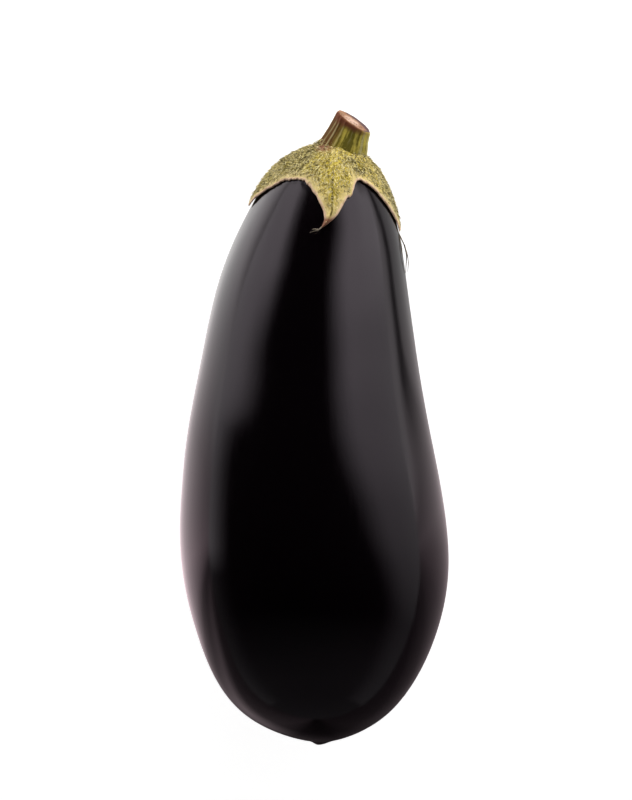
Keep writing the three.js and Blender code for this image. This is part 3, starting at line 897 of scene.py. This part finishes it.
class EGGPLANT_OT_calyx(bpy.types.Operator):
    """Shape the felted calyx over the crown, and strew its hairs"""
    bl_idname = "eggplant.calyx"
    bl_label = "Make Calyx"

    def execute(self, context):
        sizes = context.scene.eggplant_calyx
        mesh = ring_mesh("calyx_leaf", *calyx_grid(sizes))
        mesh.materials.append(felted_leaf(sizes))
        leaf = finish_piece("calyx_leaf", mesh, ["calyx"])
        area = sum(polygon.area for polygon in leaf.data.polygons) / 2
        hairs = grow("calyx_felt", leaf.data.copy(), felt_tree(), {
            "Hairs": sizes.hairs, "Length": sizes.hair_length * MM, "Width": sizes.hair_width * MM,
            "Area": area, "Seed": sizes.seed, "Material": straw_felt(sizes)})
        finish_piece("calyx_felt", hairs)
        return {"FINISHED"}


# ---- the stem and the dry threads ----


def stem_grid(sizes):
    """Rings up the bark from the foot to the cut, turning from level to the slant of the cut."""
    angle = np.linspace(0, 2 * pi, sizes.sides, endpoint=False)
    along = np.linspace(0, 1, BARK_ROWS)
    up = Vector((0, 1, 0))
    stations = np.linspace(0, 1, len(STEM_RADII))
    ribs = np.max([high * np.exp(-(degrees_from(angle, at) / wide) ** 2) for at, wide, high in STEM_RIBS],
                  axis=0)
    points, fibre = [], []
    for share in along:
        centre = STEM_FOOT.lerp(STEM_CUT_CENTRE, share)
        tilt = up.rotation_difference(up.lerp(STEM_CUT_NORMAL, share).normalized()).to_matrix()
        lip = -0.35 * smooth(share, 0.965, 1.0) ** 2
        circle = np.stack([np.cos(angle), np.zeros_like(angle), np.sin(angle)], axis=-1)
        strand = np.stack([7 * np.cos(angle), 7 * np.sin(angle), np.full_like(angle, share * 2.2)], axis=-1)
        radius = np.interp(share, stations, STEM_RADII) + sizes.rib_height * (ribs - 0.4) + lip
        radius = radius + 0.12 * noise_at(strand, 0.8, 6) + 0.16 * noise_at(strand, 2.4, 8)
        points.append((circle * radius[:, None]) @ np.array(tilt).T + np.array(centre))
        fibre.append(strand)
    share = np.broadcast_to(along[:, None], (len(along), len(angle)))
    turn = np.broadcast_to(angle, share.shape)
    return np.array(points), {
        "fibre": np.array(fibre),
        "rib": np.broadcast_to(np.clip(ribs, 0, 1), share.shape),
        # The stem's left side: partly brown bark and partly painted shade.
        "brown_and_painted_shade": 0.9 * np.exp(-(degrees_from(turn, 160) / 54) ** 4),
        "shade": np.exp(-(degrees_from(turn, 78) / 20) ** 2),
        "dried": smooth(share, 0.62, 1.0) * (0.62 + 0.38 * np.cos(turn - radians(125))),
    }


def cut_grid(rim_points):
    """The face of the cut, from its rim in to the pith: a raised middle, a sunk ring and rough
    wood, closed at the centre."""
    shares = np.linspace(1, 0, CUT_ROWS)
    centre = rim_points.mean(axis=0)
    rows, places = [], []
    normal = np.array(STEM_CUT_NORMAL)
    angle = np.linspace(0, 2 * pi, len(rim_points), endpoint=False)
    for share in shares:
        flat = centre + (rim_points - centre) * share
        place = np.stack([share * np.cos(angle), share * np.sin(angle), np.zeros_like(angle)], axis=-1)
        grain = 0.05 * noise_at(place * 7, 0.5, 9) + 0.09 * noise_at(place * 7, 1.6, 10)
        sunk = 0.3 * (smooth(share, 0.35, 0.6) - smooth(share, 0.6, 0.92)) - 0.1
        height = (grain - sunk) * smooth(1 - share, 0, 0.06) * min(1, 4 * share + 0.2)
        pith = np.repeat(centre[None], len(angle), axis=0)
        rows.append(flat + normal * height[:, None] if share else pith)
        places.append(place)
    return np.array(rows), {"face": np.array(places)}


class EGGPLANT_OT_stem(bpy.types.Operator):
    """Build the ribbed stem with its slanting cut"""
    bl_idname = "eggplant.stem"
    bl_label = "Make Stem"

    def execute(self, context):
        sizes = context.scene.eggplant_stem
        bark_points, bark_attributes = stem_grid(sizes)
        cut_points, cut_attributes = cut_grid(bark_points[-1])
        foot = np.repeat(bark_points[:1].mean(axis=1, keepdims=True), bark_points.shape[1], axis=1)
        points = np.concatenate([foot, bark_points, cut_points[1:]])
        attributes = {}
        for key, values in bark_attributes.items():
            tail = np.repeat(values[-1:], len(cut_points) - 1, axis=0)
            attributes[key] = np.concatenate([values[:1], values, tail])
        face = cut_attributes["face"]
        attributes["face"] = np.concatenate([np.repeat(face[:1], len(bark_points) + 1, axis=0), face[1:]])
        mesh = ring_mesh("stem_wood", points, attributes)
        mesh.materials.append(ribbed_bark(sizes))
        mesh.materials.append(knife_cut_wood(sizes))
        first_cut_face = len(bark_points) * bark_points.shape[1]
        for polygon in mesh.polygons:
            polygon.material_index = int(polygon.index >= first_cut_face)
        finish_piece("stem_wood", mesh, ["stem"])
        return {"FINISHED"}


def thread_tree():
    """Gives each thin line a round section that narrows to its end."""
    tree, given = new_tree("dry_threads", {"Lines": "Geometry", "Width": "Float", "Material": "Material"})
    lines = add(tree, "GeometryNodeMeshToCurve", given["Lines"])
    soft = add(tree, "GeometryNodeCurveSplineType", lines, spline_type="CATMULL_ROM")
    even = add(tree, "GeometryNodeResampleCurve", soft, sockets={"Count": 24})
    share = add(tree, "GeometryNodeSplineParameter").outputs["Factor"]
    taper = add(tree, "ShaderNodeMapRange", share, sockets={"To Min": 1, "To Max": 0.3})
    half = add(tree, "ShaderNodeMath", given["Width"], 0.5, operation="MULTIPLY")
    width = add(tree, "ShaderNodeMath", taper, half, operation="MULTIPLY")
    circle = add(tree, "GeometryNodeCurvePrimitiveCircle", sockets={"Resolution": 6, "Radius": 1.0})
    tube = add(tree, "GeometryNodeCurveToMesh", even, circle.outputs["Curve"], sockets={
        "Scale": width, "Fill Caps": True})
    end_tree(tree, tube, given["Material"])
    return tree


class EGGPLANT_OT_threads(bpy.types.Operator):
    """Hang the dry threads on the sepal tips"""
    bl_idname = "eggplant.threads"
    bl_label = "Make Threads"

    def execute(self, context):
        sizes = context.scene.eggplant_stem
        lines = bpy.data.meshes.new("thread_lines")
        points = [point for thread in THREADS for point in thread]
        edges, start = [], 0
        for thread in THREADS:
            edges += [(start + i, start + i + 1) for i in range(len(thread) - 1)]
            start += len(thread)
        lines.from_pydata(points, edges, [])
        lines.transform(lay_down())
        material, tree = new_material("dry_thread")
        own = add(tree, "ShaderNodeTexCoord").outputs["Object"]
        tone = add(tree, "ShaderNodeTexNoise", own, sockets={"Scale": 600, "Detail": 1})
        base = add(tree, "ShaderNodeMix", data_type="RGBA", sockets={
            0: tone, 6: linear("#2c221c"), 7: linear("#a89882")})
        surface = add(tree, "ShaderNodeBsdfPrincipled", sockets={"Base Color": base, "Roughness": 0.6})
        add(tree, "ShaderNodeOutputMaterial", surface)
        mesh = grow("dry_threads", lines, thread_tree(), {
            "Width": sizes.thread_width * MM, "Material": material})
        finish_piece("dry_threads", mesh)
        return {"FINISHED"}


# ---- the studio ----


def studio_light(settings):
    """A strong panel beyond the stem end, which lights the calyx and the stem but is dim in the
    skin's gloss, and a plain pale backdrop for the camera."""
    world = bpy.data.worlds.new("soft_studio")
    world.use_nodes = True
    tree = world.node_tree
    tree.nodes.clear()
    way = add(tree, "ShaderNodeTexCoord").outputs["Generated"]
    level = add(tree, "ShaderNodeMapping", way, vector_type="VECTOR", sockets={
        "Rotation": (LYING_DIP, 0, 0)})
    parts = add(tree, "ShaderNodeSeparateXYZ", level)
    rise = add(tree, "ShaderNodeMath", parts.outputs["Y"], operation="ARCSINE")
    along = add(tree, "ShaderNodeMath", rise, 180 / pi, operation="MULTIPLY")
    glow = levels(tree, along, [(-90, 0.1), (-45, 0.08), (-38, 0), (62, 0), (66, 11), (90, 11)])
    path = add(tree, "ShaderNodeLightPath").outputs
    mirrored = add(tree, "ShaderNodeMath", glow, 1.5, operation="MINIMUM")
    glow = add(tree, "ShaderNodeMix", data_type="FLOAT", sockets={
        0: path["Is Glossy Ray"], 2: glow, 3: mirrored})
    strength = add(tree, "ShaderNodeMath", glow, settings.light, operation="MULTIPLY")
    studio = add(tree, "ShaderNodeBackground", linear("#ffffff"), strength)
    backdrop = add(tree, "ShaderNodeBackground", settings.backdrop, 1.1)
    seen = path["Is Camera Ray"]
    mixed = add(tree, "ShaderNodeMixShader", seen, studio, backdrop)
    add(tree, "ShaderNodeOutputWorld", mixed)
    bpy.context.scene.world = world


def light_tent(settings):
    """A half round tent over the fruit, out of the camera's sight. Its two sides glow, and its top
    is black: the left side starts lower down than the right one, and both fade to the blossom end."""
    steps = 48
    radius, reach = 0.5, 0.95
    arch = [(radius * cos(pi * i / steps), radius * sin(pi * i / steps)) for i in range(steps + 1)]
    mesh = bpy.data.meshes.new("light_tent")
    mesh.from_pydata([(x, y, z) for y in (-reach, reach) for x, z in arch], [],
                     [(i, i + 1, i + steps + 2, i + steps + 1) for i in range(steps)])
    material, tree = new_material("tent_fabric")
    own = add(tree, "ShaderNodeTexCoord").outputs["Object"]
    level = add(tree, "ShaderNodeMapping", own, sockets={
        "Rotation": (LYING_DIP, 0, 0), "Scale": (1 / MM, 1 / MM, 1 / MM)})
    parts = add(tree, "ShaderNodeSeparateXYZ", level)
    along = parts.outputs["Y"]
    # Degrees from straight up over the fruit's middle, to the right and to the left.
    height = add(tree, "ShaderNodeMath", parts.outputs["Z"], 39, operation="SUBTRACT")
    turn = add(tree, "ShaderNodeMath", parts.outputs["X"], height, operation="ARCTAN2")
    right = add(tree, "ShaderNodeMath", turn, 180 / pi, operation="MULTIPLY")
    left = add(tree, "ShaderNodeMath", right, -1, operation="MULTIPLY")
    glow = levels(tree, along, [(-600, 0.09), (-450, 0.07), (-280, 0), (600, 0)])
    for side, soft, edges, strengths in (
        (right, (-13, 19), [(-250, 70), (-81, 56), (61, 43), (140, 28), (176, 26), (250, 26), (400, 31)],
         [(-540, 0.1), (-300, 0.15), (-81, 0.5), (61, 0.8), (140, 1.25), (165, 1.6), (180, 1.85),
          (250, 2.1), (600, 2)]),
        (left, (-17, 17), [(-100, 88), (33, 86.5), (103, 80.5), (152, 61), (176, 57), (229, 50), (328, 43),
                           (600, 45)],
         [(-300, 0.1), (-150, 0.15), (-100, 0.9), (-77, 1.3), (33, 1.15), (100, 1.2), (145, 1.5),
          (180, 1.65), (330, 1.9), (600, 1.9)]),
    ):
        edge = levels(tree, along, edges)
        start, full = (add(tree, "ShaderNodeMath", edge, by, operation="ADD") for by in soft)
        inside = add(tree, "ShaderNodeMapRange", side, interpolation_type="SMOOTHSTEP", sockets={
            "From Min": start, "From Max": full})
        glow = add(tree, "ShaderNodeMath", inside, levels(tree, along, strengths), glow,
                   operation="MULTIPLY_ADD")
    strength = add(tree, "ShaderNodeMath", glow, settings.light, operation="MULTIPLY")
    add(tree, "ShaderNodeOutputMaterial", add(tree, "ShaderNodeEmission", linear("#ffffff"), strength))
    mesh.materials.append(material)
    tent = in_scene("light_tent", mesh)
    tent.visible_camera = False
    tent.visible_shadow = False


def square_mesh(name, side, height):
    half = side / 2
    mesh = bpy.data.meshes.new(name)
    corners = [(-half, -half, height), (half, -half, height), (half, half, height), (-half, half, height)]
    mesh.from_pydata(corners, [], [(0, 1, 2, 3)])
    return mesh


def pale_floor(settings):
    """A plain backlit white floor under the eggplant, which keeps its shadow faint."""
    mesh = square_mesh("studio_floor", settings.floor_size, 0)
    material, tree = new_material("white_acrylic_floor")
    own = add(tree, "ShaderNodeTexCoord").outputs["Object"]
    mottle = add(tree, "ShaderNodeTexNoise", own, sockets={"Scale": 3, "Detail": 2})
    rough = add(tree, "ShaderNodeMapRange", mottle, sockets={"To Min": 0.75, "To Max": 0.85})
    surface = add(tree, "ShaderNodeBsdfPrincipled", sockets={
        "Base Color": settings.floor, "Roughness": rough, "Specular IOR Level": 0.2,
        "Emission Color": settings.backdrop, "Emission Strength": settings.floor_glow})
    add(tree, "ShaderNodeOutputMaterial", surface)
    mesh.materials.append(material)
    floor = in_scene("studio_floor", mesh)


def low_panel(settings):
    """A panel just over the floor that only the gloss of the skin shows: bright at the left of the
    stem end, dim at the blossom end, with one slanting dark line at the right."""
    mesh = square_mesh("low_panel", settings.floor_size, PANEL_LIFT)
    material, tree = new_material("frosted_light_panel")
    own = add(tree, "ShaderNodeTexCoord").outputs["Object"]
    place = add(tree, "ShaderNodeSeparateXYZ", add(tree, "ShaderNodeVectorMath", own, operation="SCALE",
                                                   sockets={"Scale": 1 / MM}))
    x, y = place.outputs["X"], place.outputs["Y"]
    left = levels(tree, y, [(-200, 0.15), (-150, 0.5), (-122, 0.25), (-104, 0.35), (-86, 1.0), (-60, 1.6),
                            (-30, 1.45), (0, 1.35), (30, 1.65), (70, 2.3), (110, 2.8), (250, 2.0)])
    right = levels(tree, y, [(-200, 0.06), (-125, 0.12), (-80, 0.27), (-48, 0.5), (-30, 0.75), (0, 0.65),
                             (60, 0.75), (200, 0.8)])
    side = add(tree, "ShaderNodeMapRange", x, sockets={"From Min": -30, "From Max": 30})
    glow = add(tree, "ShaderNodeMix", data_type="FLOAT", sockets={0: side, 2: left, 3: right})
    # The dark line runs straight along the stem end, and bends in towards the blossom end.
    before_bend = add(tree, "ShaderNodeMath", 40, y, operation="SUBTRACT")
    past_bend = add(tree, "ShaderNodeMath", before_bend, 0, operation="MAXIMUM")
    across = add(tree, "ShaderNodeMath", past_bend, 1.6, x, operation="MULTIPLY_ADD")
    sharp = levels(tree, across, [(112, 1), (137, 0.2), (166, 0.2), (200, 1), (260, 1.8), (400, 2)])
    faint = add(tree, "ShaderNodeMapRange", y, sockets={"From Min": 40, "From Max": 0})
    line = add(tree, "ShaderNodeMix", data_type="FLOAT", sockets={0: faint, 2: sharp, 3: 1.0})
    far_left = levels(tree, x, [(-450, 0.65), (-250, 0.75), (-110, 1), (0, 1)])
    lined = add(tree, "ShaderNodeMix", data_type="FLOAT", sockets={0: side, 2: far_left, 3: line})
    from_fruit = add(tree, "ShaderNodeMath", x, operation="ABSOLUTE")
    clear = levels(tree, from_fruit, [(15, 0.15), (55, 1)])
    strength = add(tree, "ShaderNodeMath", glow, lined, operation="MULTIPLY")
    strength = add(tree, "ShaderNodeMath", strength, clear, operation="MULTIPLY")
    strength = add(tree, "ShaderNodeMath", strength, settings.light, operation="MULTIPLY")
    rosy = add(tree, "ShaderNodeMapRange", y, sockets={"From Min": 60, "From Max": -60})
    tint = add(tree, "ShaderNodeMix", data_type="RGBA", sockets={
        0: rosy, 6: settings.floor, 7: settings.panel})
    add(tree, "ShaderNodeOutputMaterial", add(tree, "ShaderNodeEmission", tint, strength))
    mesh.materials.append(material)
    panel = in_scene("low_panel", mesh)
    panel.visible_camera = False
    panel.visible_diffuse = False
    panel.visible_transmission = False
    panel.visible_shadow = False


def square_camera(settings):
    """A long lens that looks straight down on the fruit's side, with the stem at the top."""
    turn = Matrix.Rotation(-LYING_DIP, 3, "X")
    right, up, back = (turn @ Vector(axis) for axis in ((1, 0, 0), (0, 1, 0), (0, 0, 1)))
    lens = bpy.data.cameras.new("studio_camera")
    lens.sensor_fit = "VERTICAL"
    lens.sensor_height = 36
    lens.angle = 2 * atan(settings.view_height / 2 / settings.distance)
    lens.clip_start, lens.clip_end = 0.01, 20
    camera = in_scene("studio_camera", lens)
    place = lay_down() @ Vector(settings.aim) + back * settings.distance
    camera.matrix_world = Matrix.Translation(place) @ Matrix((right, up, back)).transposed().to_4x4()
    bpy.context.scene.camera = camera


class EGGPLANT_OT_stage(bpy.types.Operator):
    """Set up the pale floor, the soft light and the camera"""
    bl_idname = "eggplant.stage"
    bl_label = "Make Studio"

    def execute(self, context):
        settings = context.scene.eggplant_studio
        square_camera(settings)
        pale_floor(settings)
        light_tent(settings)
        low_panel(settings)
        studio_light(settings)
        context.scene.view_settings.view_transform = "Standard"
        return {"FINISHED"}


OPERATORS = (EGGPLANT_OT_stage, EGGPLANT_OT_fruit, EGGPLANT_OT_calyx, EGGPLANT_OT_stem, EGGPLANT_OT_threads)


class EGGPLANT_PT_panel(bpy.types.Panel):
    """The eggplant's pieces and studio, in the 3D view's sidebar"""
    bl_idname = "EGGPLANT_PT_panel"
    bl_label = "Eggplant"
    bl_space_type = "VIEW_3D"
    bl_region_type = "UI"
    bl_category = "Eggplant"

    def draw(self, context):
        for operator in OPERATORS:
            self.layout.operator(operator.bl_idname)
        for key, group in SETTINGS.items():
            column = self.layout.box().column()
            for name in group.__annotations__:
                column.prop(getattr(context.scene, key), name)


CLASSES = (*SETTINGS.values(), *OPERATORS, EGGPLANT_PT_panel)


def register():
    for item in CLASSES:
        bpy.utils.register_class(item)
    for key, group in SETTINGS.items():
        setattr(bpy.types.Scene, key, bpy.props.PointerProperty(type=group))


def unregister():
    for key in SETTINGS:
        delattr(bpy.types.Scene, key)
    for item in reversed(CLASSES):
        bpy.utils.unregister_class(item)


def main():
    register()
    bpy.ops.eggplant.stage()
    bpy.ops.eggplant.fruit()
    bpy.ops.eggplant.calyx()
    bpy.ops.eggplant.stem()
    bpy.ops.eggplant.threads()


if __name__ == "__main__":
    main()
